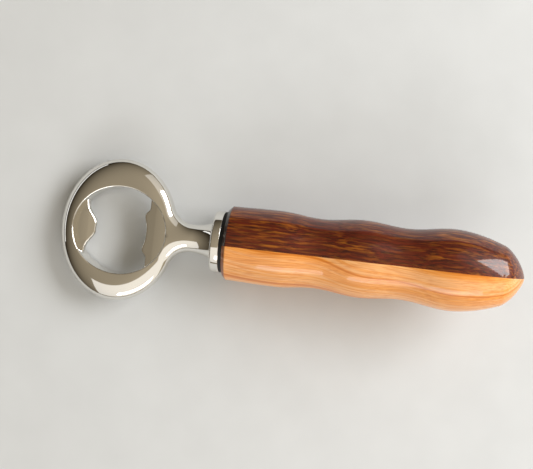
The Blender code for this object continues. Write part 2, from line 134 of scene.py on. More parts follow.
class OpenerHeadSizes(bpy.types.PropertyGroup):
    """Sizes of the cast head; creases, teeth and edges are measured from the hole's middle."""

    ring_half_length: length("Ring Half Length", "Half the ring's ellipse along the handle", 19.3 * MM)
    ring_half_width: length("Ring Half Width", "Half the ring's ellipse across the handle", float(HEAD_HIGH[1]))
    half_thickness: length("Half Thickness", "Half the thickness of ring and neck", 4.6 * MM)
    round_width: length("Round Width", "How far in from its outline the ring is rounded", 8.0 * MM)
    roundness: FloatProperty(name="Roundness", description="Power of the ring's section; 2 is an ellipse",
                             default=2.5, min=2.0, max=6.0)
    hole_centre: length("Hole Centre", "Middle of the hole along the handle", -35.2 * MM)
    hole_half_length: length("Hole Half Length", "Half the hole along the handle", 15.4 * MM)
    hole_half_width: length("Hole Half Width", "Half the hole across the handle", 14.1 * MM)
    rim_round: length("Rim Round", "Radius of the broken edge of the hole", 0.45 * MM)
    neck_radius: length("Neck Radius", "Radius of the round neck", 4.6 * MM)
    neck_fillet: length("Neck Fillet", "Plan radius that runs the ring into the neck", 7.0 * MM)
    neck_waist: length("Neck Waist", "Where the neck starts to flare", -11.0 * MM)
    flare_end: length("Flare End", "Front face of the flange", -4.3 * MM)
    flare_radius: length("Flare Radius", "Radius of the flare where it meets the flange", 6.6 * MM)
    flange_round: length("Flange Round", "Radius of the flange's front edge", 0.8 * MM)
    bore_radius: length("Bore Radius", "Hole that the stud's shank sits in", 3.0 * MM)
    lip_half_thickness: length("Lip Half Thickness", "Half of it behind the crease", 1.2 * MM)
    lip_edge_half: length("Lip Edge Half Thickness", "Half the thickness at the edges", 0.7 * MM)
    lip_seat: length("Lip Seat", "How deep the lips run into the ring", 1.0 * MM)
    near_crease: length("Near Crease", "Crease of the near lip", 11.3 * MM)
    near_tooth: length("Near Tooth", "Tip of the near lip's two teeth", 7.25 * MM)
    near_hollow: length("Near Hollow", "Hollow between the teeth", 8.15 * MM)
    near_shoulder: length("Near Shoulder", "Edge beside the teeth", 8.75 * MM)
    tooth_spacing: length("Tooth Spacing", "From the middle line to a tooth", 5.75 * MM)
    near_width: length("Near Lip Width", "Half the near lip across the handle", 12.3 * MM)
    far_crease: length("Far Crease", "Crease of the far lip", 11.4 * MM)
    far_nose: length("Far Nose", "Tip of the far lip", 8.65 * MM)
    far_shoulder: length("Far Shoulder", "Edge beside the nose", 11.5 * MM)
    far_width: length("Far Lip Width", "Half the far lip across the handle", 9.6 * MM)


class OpenerHandleSizes(bpy.types.PropertyGroup):
    """Sizes of the turned handle."""

    swell_places: FloatVectorProperty(
        name="Swell Places", description="Where swells and dips lie, from the end face", size=6, unit="LENGTH",
        default=(0.0, 16.5 * MM, 30.0 * MM, 44.0 * MM, 57.5 * MM, 73.0 * MM))
    swell_radii: FloatVectorProperty(
        name="Swell Radii", description="Radius of the handle at the swells and dips", size=6, unit="LENGTH",
        default=(12.1 * MM, 12.4 * MM, 11.3 * MM, 12.55 * MM, 11.5 * MM, 13.1 * MM))
    end_chamfer: length("End Chamfer", "Chamfer of the wood's end face", 1.1 * MM)
    nose_start: length("Nose Start", "Soft crease where the taper turns into the nose", 88.2 * MM)
    nose_radius: length("Nose Radius", "Radius at that crease", 9.85 * MM)
    full_length: length("Length", "From the end face to the tip", float(WOOD_HIGH[0]))
    glue_offset: length("Glue Line Offset", "How far the glue plane leaves the axis at the end face", -0.7 * MM)
    bore_depth: length("Bore Depth", "Depth of the hole for the insert", 24.0 * MM)


class OpenerThreadSizes(bpy.types.PropertyGroup):
    """Sizes of the stud, its thread, the insert and the washer."""

    crest_radius: length("Crest Radius", "Outer radius of the stud's thread", float(STUD_HIGH[1]))
    depth: length("Thread Depth", "From the thread's crest to its root", 0.95 * MM)
    pitch: length("Pitch", "Sixteen turns to the inch", 25.4 / 16.0 * MM)
    play: length("Play", "Radial play between stud and insert", 0.4 * MM)
    shank_radius: length("Shank Radius", "Plain end of the stud, set in the head", 2.8 * MM)
    insert_radius: length("Insert Radius", "Outer radius of the insert", float(INSERT_HIGH[1]))
    knurl_depth: length("Knurl Depth", "Depth of the insert's knurling", 0.25 * MM)
    knurl_count: IntProperty(name="Knurl Count", description="Knurls round the insert", default=24, min=6)
    washer_radius: length("Washer Radius", "Outer radius of the washer", 9.9 * MM)


class OpenerColours(bpy.types.PropertyGroup):
    """Colours of the finishes and the stage."""

    chrome: colour("Chrome", "Polished chromium plate", "#E6E4DF")
    steel: colour("Zinc Plated Steel", "Bright zinc on the stud", "#B9BBB8")
    # The washer's black is painted shade: it stands for the dark line of the joint between flange and wood.
    joint_shade_black: colour("Joint Shade Black", "Washer black, painted shade of the joint", "#0D0C0B")
    brass: colour("Brass", "Machined insert", "#C79A4B")
    dark_ground: colour("Dark Wood", "Ground colour of the dark wood", "#631E04")
    dark_line: colour("Dark Wood Pores", "Darkest streaks of the dark wood", "#300B02")
    dark_gold: colour("Dark Wood Gold", "Golden flecks of the dark wood", "#AE6414")
    # Painted shade: the end colour darkens the wood's end chamfer beside the flange, where shade falls.
    dark_end_shade: colour("Dark Wood End Shade", "Painted shade on the dark wood's end chamfer", "#120703")
    light_ground: colour("Light Wood", "Ground colour of the light wood", "#E8953C")
    light_line: colour("Light Wood Lines", "Growth lines of the light wood", "#BC6210")
    light_pale: colour("Light Wood Pale", "Palest bands of the light wood", "#F0B578")
    # Painted shade on the light wood's end chamfer beside the flange.
    light_end_shade: colour("Light Wood End Shade", "Painted shade on the light wood's end chamfer", "#7C3C16")
    floor: colour("Floor", "Matt paper on the table", "#C9CCCE")
    room: colour("Room", "Warm light of the room overhead", "#B2A58E")
    room_shade: colour("Room Shade", "Darker side of the room", "#2E271D")


# ---------------------------------------------------------------- surfaces

def smooth(share):
    """Return a smooth step: zero below 0, one above 1, and 3 s squared less 2 s cubed between them."""
    share = np.clip(share, 0.0, 1.0)
    return share * share * (3.0 - 2.0 * share)


def quarter(steps):
    """Return so many angles from 0 to a right angle."""
    return np.linspace(0.0, math.pi / 2.0, steps)


def grid(x, y, z, wrap=False):
    """Return (points, faces) of a surface given as arrays of rows and columns; wrap joins the last column."""
    x, y, z = np.broadcast_arrays(x, y, z)
    rows, columns = x.shape
    last = columns if wrap else columns - 1
    row, column = np.meshgrid(np.arange(rows - 1), np.arange(last), indexing="ij")
    after = (column + 1) % columns
    corners = (row * columns + column, row * columns + after, (row + 1) * columns + after,
               (row + 1) * columns + column)
    return np.stack((x, y, z), axis=-1).reshape(-1, 3), np.stack([c.ravel() for c in corners], axis=1)


def turned(x, radius, angle):
    """Return the surface of a profile, given as columns of x and radius, turned all round the axis."""
    return grid(x, radius * np.cos(angle), radius * np.sin(angle), wrap=True)


def weld(name, patches, caps=()):
    """Return one closed mesh on the table from patches of (points, faces) on the bench line."""
    points = np.concatenate([patch[0] for patch in patches])
    starts = np.cumsum([0] + [len(patch[0]) for patch in patches[:-1]])
    faces = [face for start, patch in zip(starts, patches) for face in (patch[1] + start).tolist()]
    faces += [list(cap) for cap in caps]
    mesh = bpy.data.meshes.new(name)
    mesh.from_pydata((ORIGIN + points @ BENCH).tolist(), [], faces)
    work = bmesh.new()
    work.from_mesh(mesh)
    bmesh.ops.remove_doubles(work, verts=work.verts, dist=MERGE_GAP)
    bmesh.ops.dissolve_degenerate(work, edges=work.edges, dist=0.0001 * MM)
    bmesh.ops.recalc_face_normals(work, faces=work.faces)
    work.to_mesh(mesh)
    work.free()
    return mesh


def add_piece(name, mesh, material, body, node, crease=35.0):
    """Link a finished mesh as a piece that rides on a body and stands for a CAD node.

    It is shaded smooth, with edges steeper than the crease angle, in degrees, kept sharp.
    """
    mesh.polygons.foreach_set("use_smooth", np.ones(len(mesh.polygons), bool))
    mesh.set_sharp_from_angle(angle=math.radians(crease))
    mesh.materials.clear()
    mesh.materials.append(material)
    piece = bpy.data.objects.new(name, mesh)
    bpy.context.scene.collection.objects.link(piece)
    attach(piece, body)
    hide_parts(node)
    return piece


def fillet_place(head, ring_centre):
    """Return the x of the fillet circle and the angle where it touches the ring's ellipse.

    Its centre lies one radius outside the neck's side; its x is halved down until the ellipse is as near.
    """
    angles = quarter(4001)
    ellipse_x = ring_centre + head.ring_half_length * np.cos(angles)
    ellipse_y = head.ring_half_width * np.sin(angles)
    centre_y = head.neck_radius + head.neck_fillet
    low, high = ring_centre + head.ring_half_length, 0.0
    for _ in range(40):
        middle = (low + high) / 2.0
        distance = np.hypot(ellipse_x - middle, ellipse_y - centre_y)
        if distance.min() < head.neck_fillet:
            low = middle
        else:
            high = middle
    return high, angles[distance.argmin()]


def outline_rays(head, ring_centre, fillet_x, touch):
    """Return half the plan outline: its points, inward ways, each ray's reach, and how square it meets the hole.

    An arc of the fillet circle leads from the neck's side to the ellipse, which runs to the far end. Rays
    are square to the outline. The first end on the middle line, from the neck to the hole; the others end on
    the hole's ellipse, where the reach solves a quadratic.
    """
    centre_y = head.neck_radius + head.neck_fillet
    near_end = head.hole_centre + head.hole_half_length
    corner = math.atan2(fillet_x - near_end, centre_y)
    touch_x = ring_centre + head.ring_half_length * math.cos(touch)
    touch_y = head.ring_half_width * math.sin(touch)
    turn = np.concatenate((np.linspace(0.0, corner, NECK_RAYS),
                           np.linspace(corner, math.atan2(fillet_x - touch_x, centre_y - touch_y), 19)[1:]))
    arc_way = np.stack((-np.sin(turn), -np.cos(turn)))
    arc = np.array((fillet_x, centre_y))[:, None] + head.neck_fillet * arc_way
    angle = np.linspace(touch, math.pi, 121)[1:]
    oval = np.stack((ring_centre + head.ring_half_length * np.cos(angle), head.ring_half_width * np.sin(angle)))
    oval_way = -np.stack((head.ring_half_width * np.cos(angle), head.ring_half_length * np.sin(angle)))
    oval_way /= np.hypot(*oval_way)
    point = np.concatenate((arc, oval), axis=1)
    way = np.concatenate((arc_way, oval_way), axis=1)
    axes = np.array((head.hole_half_length, head.hole_half_width))[:, None]
    place = (point - np.array((head.hole_centre, 0.0))[:, None]) / axes
    step = way / axes
    square, product = (step ** 2).sum(axis=0), (place * step).sum(axis=0)
    inside = np.maximum(product ** 2 - square * ((place ** 2).sum(axis=0) - 1.0), 0.0)
    reach = (-product - np.sqrt(inside)) / square
    first = np.arange(reach.size) < NECK_RAYS
    reach[first] = point[1, first] / -way[1, first]
    rim_way = (place + step * reach) / axes
    rim_way /= np.hypot(*rim_way)
    lean = np.abs((rim_way * way).sum(axis=0))
    lean[first] = lean[NECK_RAYS - 1]
    return point, way, reach, lean


def pillow_height(head, fillet_x, x, y, depth):
    """Return the height of the casting above its middle plane.

    It rises as a superellipse of the depth behind the outline, and is full at the round width or on the
    neck's middle line, where the section becomes a circle. A quarter round takes the hole's edge off.
    """
    middle = np.hypot(np.minimum(x - fillet_x, 0.0), head.neck_radius + head.neck_fillet) - head.neck_fillet
    soft = 0.6 * MM
    full = middle - soft * np.log1p(np.exp((middle - head.round_width) / soft))
    power = 2.0 + (head.roundness - 2.0) * smooth((fillet_x - x) / (10.0 * MM))
    height = head.half_thickness * (1.0 - (1.0 - np.clip(depth / full, 0.0, 1.0)) ** power) ** (1.0 / power)
    along = (x - head.hole_centre) / head.hole_half_length
    across = y / head.hole_half_width
    far = np.hypot(along, across)
    steep = np.hypot(along / head.hole_half_length, across / head.hole_half_width) / far
    rim = np.clip(1.0 - (far - 1.0) / steep / head.rim_round, 0.0, 1.0)
    return height - head.rim_round * (1.0 - np.sqrt(1.0 - rim ** 2))


def neck_profile(head, fillet_x, flange_radius, flange_back):
    """Return x and radius from the neck to the stud's bore: flare, flange with round edges, and bore.

    The flare's radius grows as a power of the way along it, and ends in a small hollow round.
    """
    share = np.linspace(0.0, 1.0, 26)
    hollow = FLARE_HOLLOW
    flare_x = head.neck_waist + (head.flare_end - hollow - head.neck_waist) * share
    flare_r = head.neck_radius + (head.flare_radius - hollow - head.neck_radius) * share ** 2.0
    turn = quarter(9)
    hollow_x = head.flare_end - hollow * np.cos(turn)[1:]
    hollow_r = head.flare_radius - hollow + hollow * np.sin(turn)[1:]
    edge_x = head.flare_end + head.flange_round * (1.0 - np.cos(turn))
    edge_r = flange_radius - head.flange_round * (1.0 - np.sin(turn))
    back = FLANGE_BACK_ROUND
    back_x = flange_back - back * (1.0 - np.sin(turn))
    back_r = flange_radius - back * (1.0 - np.cos(turn))
    deep = STUD_LOW[0] - 0.2 * MM
    x = np.concatenate(((fillet_x,), flare_x, hollow_x, edge_x, back_x, (flange_back, deep, deep)))
    radius = np.concatenate(((head.neck_radius,), flare_r, hollow_r, edge_r, back_r,
                             (head.bore_radius, head.bore_radius, 0.0)))
    return x, radius


def casting_mesh(head):
    """Return the closed mesh of ring, neck and flange: a quarter, mirrored in both middle planes.

    It is a grid of rays (columns) and depths behind the outline (rows), the hole's wall, and the turned
    neck, whose points round the axis match the rows of the first ray.
    """
    ring_centre = float(HEAD_LOW[0]) + head.ring_half_length
    fillet_x, touch = fillet_place(head, ring_centre)
    point, way, reach, lean = outline_rays(head, ring_centre, fillet_x, touch)
    lead = np.minimum(head.rim_round / np.maximum(lean, 0.4), 0.3 * reach)
    outer = 1.0 - np.cos(quarter(30))[:, None]
    inner = 1.0 - np.sin(quarter(8))[1:, None]
    depth = np.concatenate((outer * (reach - lead), reach - lead * inner))
    x = point[0] + way[0] * depth
    y = point[1] + way[1] * depth
    y[-1, :NECK_RAYS] = 0.0
    y[:, -1] = 0.0
    z = pillow_height(head, fillet_x, x, y, depth)
    z[0] = 0.0
    hole = slice(NECK_RAYS - 1, None)
    wall = np.linspace(1.0, 0.0, 4)[:, None]
    turn = np.arctan2(z[:, 0], y[:, 0])[None, :]
    neck_x, neck_r = neck_profile(head, fillet_x, float(HEAD_HIGH[2]), float(HEAD_HIGH[0]))
    neck_x, neck_r = neck_x[:, None], neck_r[:, None]
    patches = (
        grid(x, y, z),
        grid(x[-1:, hole], y[-1:, hole], z[-1:, hole] * wall),
        grid(neck_x, neck_r * np.cos(turn), neck_r * np.sin(turn)),
    )
    sides = [np.array((1.0, across, up)) for across in (1.0, -1.0) for up in (1.0, -1.0)]
    return weld("cast_head", [(points * side, faces) for side in sides for points, faces in patches])


def lip_mesh(name, head, side, width, edge, crease, tip, edge_round):
    """Return the closed mesh of one lip, a wedge that runs from inside the ring's wall to its free edge.

    Its edge follows edge(y). Its half thickness is full behind the crease, falls straight to the thin edge,
    and closes there as a quarter ellipse.
    """
    y = np.linspace(-width, width, 97)[None, :]
    rim = edge(np.abs(y))
    half_length = head.hole_half_length + head.lip_seat
    half_width = head.hole_half_width + head.lip_seat
    seat = half_length * np.sqrt(1.0 - (y / half_width) ** 2)
    start = np.minimum(rim + edge_round, seat - 0.4 * MM)
    fold = np.minimum(np.maximum(crease, start + 0.1 * MM), seat - 0.2 * MM)
    turn = quarter(8)[1:, None]
    rows = np.concatenate((seat + (fold - seat) * np.linspace(0.0, 1.0, 3)[:, None],
                           fold + (start - fold) * np.linspace(0.0, 1.0, 7)[1:, None],
                           start - edge_round * np.sin(turn)))
    half = head.lip_edge_half + (head.lip_half_thickness - head.lip_edge_half) * np.clip(
        (rows - tip) / (crease - tip), 0.0, 1.0)
    inward = np.clip((start - rows) / edge_round, 0.0, 1.0)
    half = half * np.sqrt(1.0 - inward ** 2)
    rows = np.concatenate((rows, rows[-2::-1]))
    half = np.concatenate((half, -half[-2::-1]))
    count = len(rows)
    points, faces = grid((head.hole_centre + side * rows).T, y.T, half.T, wrap=True)
    caps = (range(count), range(len(points) - count, len(points)))
    return weld(name, [(points, faces)], caps)


def near_edge(head):
    """Return the near lip's edge: a smooth hollow, a rounded tooth on each side, and a shoulder beyond it."""
    def edge(y):
        inside = smooth((y - 1.2 * MM) / (head.tooth_spacing - 1.2 * MM))
        outside = smooth((y - head.tooth_spacing) / (2.3 * MM))
        return (head.near_hollow + (head.near_tooth - head.near_hollow) * inside
                + (head.near_shoulder - head.near_tooth) * outside)
    return edge


def far_edge(head):
    """Return the far lip's edge: a blunt nose that slopes to a shoulder on each side."""
    def edge(y):
        slope = smooth((y - 1.3 * MM) / (5.9 * MM))
        return head.far_nose + (head.far_shoulder - head.far_nose) * slope + 0.15 * np.maximum(y - 6.8 * MM, 0.0)
    return edge


def join_solids(mesh, *others):
    """Return the EXACT Boolean union of closed meshes."""
    target = bpy.data.objects.new("union", mesh)
    bpy.context.scene.collection.objects.link(target)
    helpers = []
    for other in others:
        helper = bpy.data.objects.new(other.name, other)
        bpy.context.scene.collection.objects.link(helper)
        helpers.append(helper)
        modifier = target.modifiers.new(other.name, "BOOLEAN")
        modifier.operation = "UNION"
        modifier.solver = "EXACT"
        modifier.object = helper
    bpy.context.view_layer.update()
    joined = bpy.data.meshes.new_from_object(target.evaluated_get(bpy.context.evaluated_depsgraph_get()))
    for helper in helpers + [target]:
        bpy.data.objects.remove(helper, do_unlink=True)
    return joined


def thread_wave(thread, x, angle):
    """Return 0 in a thread's root and 1 on its crest: a trapezoid wave of the turns along x less the angle."""
    start = float(STUD_HIGH[0]) - 10.0 * thread.pitch
    phase = ((x - start) / thread.pitch - angle / (2.0 * math.pi)) % 1.0
    return np.interp(phase, (0.0, 0.2, 0.5, 0.7, 1.0), (0.0, 0.0, 1.0, 1.0, 0.0))


def stud_mesh(thread):
    """Return the stud: a plain shank, and a rolled thread that fades in at the collar and out at the tip."""
    end, collar = float(STUD_HIGH[0]), float(HEAD_HIGH[0])
    root = thread.crest_radius - thread.depth
    x = np.linspace(collar, end, 190)[:, None]
    angle = np.linspace(0.0, 2.0 * math.pi, 65)[None, :-1]
    fade = smooth((x - collar - 1.2 * MM) / thread.pitch) * smooth((end - 0.3 * MM - x) / (1.2 * MM))
    radius = root - TIP_TAPER * (1.0 - smooth((end - x) / (0.8 * MM)))
    radius = radius + thread.depth * fade * thread_wave(thread, x, angle)
    threaded = turned(x, radius, angle)
    base_x = np.array((float(STUD_LOW[0]), float(STUD_LOW[0]), collar, collar))[:, None]
    base_r = np.array((0.0, thread.shank_radius, thread.shank_radius, root))[:, None]
    shank = turned(base_x, base_r, angle)
    tip_x = np.array((end, end))[:, None]
    tip_r = np.array((root - TIP_TAPER, 0.0))[:, None]
    tip = turned(tip_x, tip_r, angle)
    return weld("steel_stud", [shank, threaded, tip])


def washer_mesh(thread):
    """Return the washer, a closed profile with softly rounded outer edges turned round the axis."""
    front, back = float(HEAD_HIGH[0]) + 0.01 * MM, -0.01 * MM
    turn = quarter(5)
    round_off = WASHER_ROUND
    inner = float(STUD_HIGH[1]) + 0.15 * MM
    x = np.concatenate(((front,), front + round_off * (1.0 - np.cos(turn)), back - round_off * (1.0 - np.sin(turn)),
                        (back,)))
    radius = np.concatenate(((inner,), thread.washer_radius - round_off * (1.0 - np.sin(turn)),
                             thread.washer_radius - round_off * (1.0 - np.cos(turn)), (inner,)))
    angle = np.linspace(0.0, 2.0 * math.pi, 97)[None, :-1]
    x, radius = np.append(x, x[0])[:, None], np.append(radius, radius[0])[:, None]
    return weld("joint_shade_washer", [turned(x, radius, angle)])


def insert_mesh(thread):
    """Return the brass insert: a threaded bore inside, straight knurls outside, and flat ends."""
    start, end = float(INSERT_LOW[0]), float(INSERT_HIGH[0])
    x = np.linspace(start, end, 220)[:, None]
    angle = np.linspace(0.0, 2.0 * math.pi, 4 * thread.knurl_count + 1)[None, :-1]
    lead = smooth((x - start) / (0.7 * MM))
    bore = thread.crest_radius + thread.play - thread.depth * lead * (1.0 - thread_wave(thread, x, angle))
    knurl = thread.knurl_depth * (0.5 - 0.5 * np.cos(thread.knurl_count * angle))
    outer = np.broadcast_to(thread.insert_radius - knurl, (2, angle.size))
    outer_x = np.array((end, start))[:, None]
    radius = np.concatenate((bore, outer, bore[:1]))
    place = np.concatenate((x, outer_x, x[:1]))
    return weld("brass_insert", [turned(place, radius, angle)])


def grip_radius(handle, x):
    """Return the handle's radius at x.

    Swells and dips are joined by half cosines. Past the last swell the radius falls as a power of the way
    down the taper, then of the way down the nose. Of this and a 45 degree chamfer the lesser is taken, softened.
    """
    places, radii = np.array(handle.swell_places), np.array(handle.swell_radii)
    after = np.clip(np.searchsorted(places, x), 1, len(places) - 1)
    share = np.clip((x - places[after - 1]) / (places[after] - places[after - 1]), 0.0, 1.0)
    wave = radii[after - 1] + (radii[after] - radii[after - 1]) * (1.0 - np.cos(math.pi * share)) / 2.0
    down = np.clip((x - places[-1]) / (handle.nose_start - places[-1]), 0.0, 1.0)
    taper = radii[-1] - (radii[-1] - handle.nose_radius) * down ** 1.8
    nose = np.clip((x - handle.nose_start) / (handle.full_length - handle.nose_start), 0.0, 1.0)
    radius = np.where(x < places[-1], wave, taper)
    radius = np.where(x < handle.nose_start, radius, handle.nose_radius * (1.0 - nose ** 1.4) ** 0.7)
    chamfer = radii[0] - handle.end_chamfer + x
    soft = 0.06 * MM
    return np.minimum(radius, chamfer) - soft * np.log1p(np.exp(-np.abs(radius - chamfer) / soft))


def half_handle_mesh(name, handle, side, bore):
    """Return one wood of the handle, on its own side of the glue plane.

    Each outside circle runs from the angle where it leaves the plane to the one where it comes back. The
    end face and the bore keep these angles, and flat grids fill the glue plane and the bore's bottom.
    """
    last_swell = handle.swell_places[-1]
    nose = handle.full_length - handle.nose_start
    x = np.concatenate((np.linspace(0.0, 2.0 * MM, 24), np.linspace(2.0 * MM, handle.bore_depth, 36)[1:],
                        np.linspace(handle.bore_depth, last_swell, 80)[1:],
                        np.linspace(last_swell, handle.nose_start, 28)[1:],
                        handle.nose_start + nose * np.sin(quarter(34))[1:]))
    radius = grip_radius(handle, x)
    radius[-1] = 0.0
    plane = handle.glue_offset * (1.0 - x / handle.full_length)
    share = np.linspace(0.0, 1.0, 57)[None, :]

    def arc(place, size, level):
        """Return a grid of arcs from plane to plane round the axis, one for each row."""
        size, level = size[:, None], level[:, None]
        first = np.arcsin(level / np.maximum(size, 0.001 * MM))
        angle = first + (side * math.pi - 2.0 * first) * share
        return place[:, None] + 0.0 * share, size * np.sin(angle), size * np.cos(angle)

    steps = np.linspace(0.0, 1.0, 6)
    face_r = radius[0] + (bore - radius[0]) * steps
    deep = x <= handle.bore_depth + 0.001 * MM
    face_plane = np.full(6, plane[0])
    outside = arc(x, radius, plane)
    face = arc(np.zeros(6), face_r, face_plane)
    inside = arc(x[deep], np.full(deep.sum(), bore), plane[deep])
    floor_x, floor_y, floor_z = [row[-1:] for row in inside]
    floor_plane = plane[deep][-1]
    line_z = math.sqrt(bore ** 2 - floor_plane ** 2) * np.cos(math.pi * share)
    floor = (np.concatenate((floor_x, floor_x)), np.concatenate((floor_y, 0.0 * share + floor_plane)),
             np.concatenate((floor_z, line_z)))
    strip_r = radius[deep][:, None] + (bore - radius[deep][:, None]) * steps
    strip_y = plane[deep][:, None] + 0.0 * strip_r
    strip_z = np.sqrt(strip_r ** 2 - strip_y ** 2)
    strip_x = x[deep][:, None] + 0.0 * strip_r
    full_z = np.sqrt(np.maximum(radius ** 2 - plane ** 2, 0.0))
    beyond = ~deep
    beyond[np.flatnonzero(deep)[-1]] = True
    line = np.concatenate((strip_z[-1, :-1], line_z[0], -strip_z[-1, -2::-1])) / full_z[deep][-1]
    patches = [grid(*part) for part in (outside, face, inside, floor)]
    patches += [grid(strip_x, strip_y, up * strip_z) for up in (1.0, -1.0)]
    patches.append(grid(x[beyond][:, None], plane[beyond][:, None], full_z[beyond][:, None] * line[None, :]))
    return weld(name, patches)


# ---------------------------------------------------------------- finishes

def node(tree, kind, inputs=None, stops=(), **settings):
    """Add a node with its settings; an input is linked where a socket is given and set where a value is.

    A plain colour is given as red, green and blue. Stops are a colour ramp's (place, colour) pairs.
    """
    made = tree.nodes.new(kind)
    for name, value in settings.items():
        setattr(made, name, value)
    for name, value in (inputs or {}).items():
        socket = made.inputs[name]
        if isinstance(value, bpy.types.NodeSocket):
            tree.links.new(value, socket)
        else:
            socket.default_value = (*value, 1.0) if socket.type == "RGBA" else value
    for _ in stops[2:]:
        made.color_ramp.elements.new(1.0)
    for place, (share, tone) in enumerate(stops):
        made.color_ramp.elements[place].position = share
        made.color_ramp.elements[place].color = (*tone, 1.0)
    return made


def start_material(name):
    """Return a new material with its node tree and its Principled shader."""
    material = bpy.data.materials.new(name)
    material.use_nodes = True
    return material, material.node_tree, material.node_tree.nodes["Principled BSDF"]


def set_shader(shader, **inputs):
    """Set the shader's own sockets to plain values, or link them; an underscore stands for a space."""
    for name, value in inputs.items():
        socket = shader.inputs[name.replace("_", " ")]
        if isinstance(value, bpy.types.NodeSocket):
            shader.id_data.links.new(value, socket)
        else:
            socket.default_value = value


def bench_millimetres(tree):
    """Turn, shift and scale the Object coordinates into millimetres on the bench line."""
    place = node(tree, "ShaderNodeTexCoord")
    turn = Matrix([list(row) for row in BENCH]).to_euler()
    shift = -(BENCH @ ORIGIN) * PER_MM
    return node(tree, "ShaderNodeMapping", {
        "Vector": place.outputs["Object"], "Scale": (PER_MM, PER_MM, PER_MM), "Rotation": turn, "Location": shift,
    }).outputs["Vector"]


def stretched(tree, vector, along, across):
    """Scale a position so that one unit of pattern is so many millimetres along and across the grain."""
    return node(tree, "ShaderNodeMapping", {
        "Vector": vector, "Scale": (1.0 / along, 1.0 / across, 1.0 / across)}).outputs["Vector"]


def chrome_finish(colours):
    """Polished chromium plate on a zinc casting.

    The ring was cast, buffed and plated, so it mirrors its surroundings nearly without haze. Buffing leaves
    hollows some 6 mm across and a few micrometres deep that bend the reflections a little, and handling
    leaves hair-fine scuffs.
    """
    material, tree, shader = start_material("Polished chromium plate")
    place = bench_millimetres(tree)
    hollows = node(tree, "ShaderNodeTexNoise", {"Vector": place, "Scale": 1.0 / 6.0, "Detail": 1.0})
    bump = node(tree, "ShaderNodeBump", {"Height": hollows.outputs["Fac"], "Strength": 0.35, "Distance": 0.03 * MM})
    haze = node(tree, "ShaderNodeTexNoise", {"Vector": place, "Scale": 1.0 / 1.5, "Detail": 4.0, "Roughness": 0.7})
    rough = node(tree, "ShaderNodeMapRange", {
        "Value": haze.outputs["Fac"], "From Min": 0.35, "From Max": 0.75, "To Min": 0.035, "To Max": 0.085})
    set_shader(shader, Base_Color=(*colours.chrome, 1.0), Metallic=1.0, Roughness=rough.outputs["Result"],
               Normal=bump.outputs["Normal"])
    return material


def steel_finish(colours):
    """Bright zinc plate on a rolled steel thread: grey, softly glossy, with a fine crystalline mottle."""
    material, tree, shader = start_material("Zinc plated steel")
    place = bench_millimetres(tree)
    mottle = node(tree, "ShaderNodeTexNoise", {"Vector": place, "Scale": 1.0 / 0.5, "Detail": 3.0})
    rough = node(tree, "ShaderNodeMapRange", {
        "Value": mottle.outputs["Fac"], "From Min": 0.3, "From Max": 0.7, "To Min": 0.22, "To Max": 0.38})
    pale = [min(1.0, 1.12 * channel) for channel in colours.steel]
    deep = [0.82 * channel for channel in colours.steel]
    tone = node(tree, "ShaderNodeValToRGB", {"Fac": mottle.outputs["Fac"]}, stops=((0.35, deep), (0.65, pale)))
    set_shader(shader, Metallic=1.0, Base_Color=tone.outputs["Color"], Roughness=rough.outputs["Result"])
    return material


def joint_shade_finish(colours):
    """Near-black matt finish of the washer, with flecks about 0.4 mm across; its black is painted shade for the dark
    joint line between flange and wood.
    """
    material, tree, shader = start_material("Black painted joint shade")
    place = bench_millimetres(tree)
    flecks = node(tree, "ShaderNodeTexNoise", {"Vector": place, "Scale": 1.0 / 0.4, "Detail": 3.0})
    grey = [min(1.0, 2.2 * channel) for channel in colours.joint_shade_black]
    tone = node(tree, "ShaderNodeValToRGB", {"Fac": flecks.outputs["Fac"]}, stops=((0.4, colours.joint_shade_black), (0.75, grey)))
    bump = node(tree, "ShaderNodeBump", {"Height": flecks.outputs["Fac"], "Strength": 0.4, "Distance": 0.03 * MM})
    set_shader(shader, Roughness=0.72, Base_Color=tone.outputs["Color"], Normal=bump.outputs["Normal"])
    return material


def brass_finish(colours):
    """Machined brass: yellow metal with turning lines round the axis, drawn 0.3 mm apart so that they show."""
    material, tree, shader = start_material("Machined brass")
    place = bench_millimetres(tree)
    lines = node(tree, "ShaderNodeTexNoise", {
        "Vector": stretched(tree, place, 0.3, 4.0), "Scale": 1.0, "Detail": 2.0})
    rough = node(tree, "ShaderNodeMapRange", {
        "Value": lines.outputs["Fac"], "From Min": 0.3, "From Max": 0.7, "To Min": 0.2, "To Max": 0.34})
    deep = [0.75 * channel for channel in colours.brass]
    tone = node(tree, "ShaderNodeValToRGB", {"Fac": lines.outputs["Fac"]}, stops=((0.3, deep), (0.6, colours.brass)))
    set_shader(shader, Metallic=1.0, Base_Color=tone.outputs["Color"], Roughness=rough.outputs["Result"])
    return material


def swayed(tree, place, sway, period):
    """Bend the grain: add a slow noise, so many millimetres strong, whose waves are one period long."""
    drift = node(tree, "ShaderNodeTexNoise", {"Vector": stretched(tree, place, period, period / 2.5), "Scale": 1.0,
                                              "Detail": 1.0})
    centred = node(tree, "ShaderNodeVectorMath", {0: drift.outputs["Color"], 1: (0.5, 0.5, 0.5)},
                   operation="SUBTRACT")
    scaled = node(tree, "ShaderNodeVectorMath", {0: centred.outputs["Vector"], 1: (0.0, sway, sway)},
                  operation="MULTIPLY")
    return node(tree, "ShaderNodeVectorMath", {0: place, 1: scaled.outputs["Vector"]},
                operation="ADD").outputs["Vector"]


def lacquer(tree, shader, height, strength, coat):
    """Gloss lacquer over wood: a thin clear coat that lies almost flat over the pores below it."""
    bump = node(tree, "ShaderNodeBump", {"Height": height, "Strength": strength, "Distance": 0.05 * MM})
    pull = node(tree, "ShaderNodeBump", {"Height": height, "Strength": 0.3 * strength, "Distance": 0.05 * MM})
    set_shader(shader, Coat_Weight=coat, Coat_Roughness=0.05, Coat_IOR=1.5, IOR=1.5, Specular_IOR_Level=0.2,
               Normal=bump.outputs["Normal"], Coat_Normal=pull.outputs["Normal"])


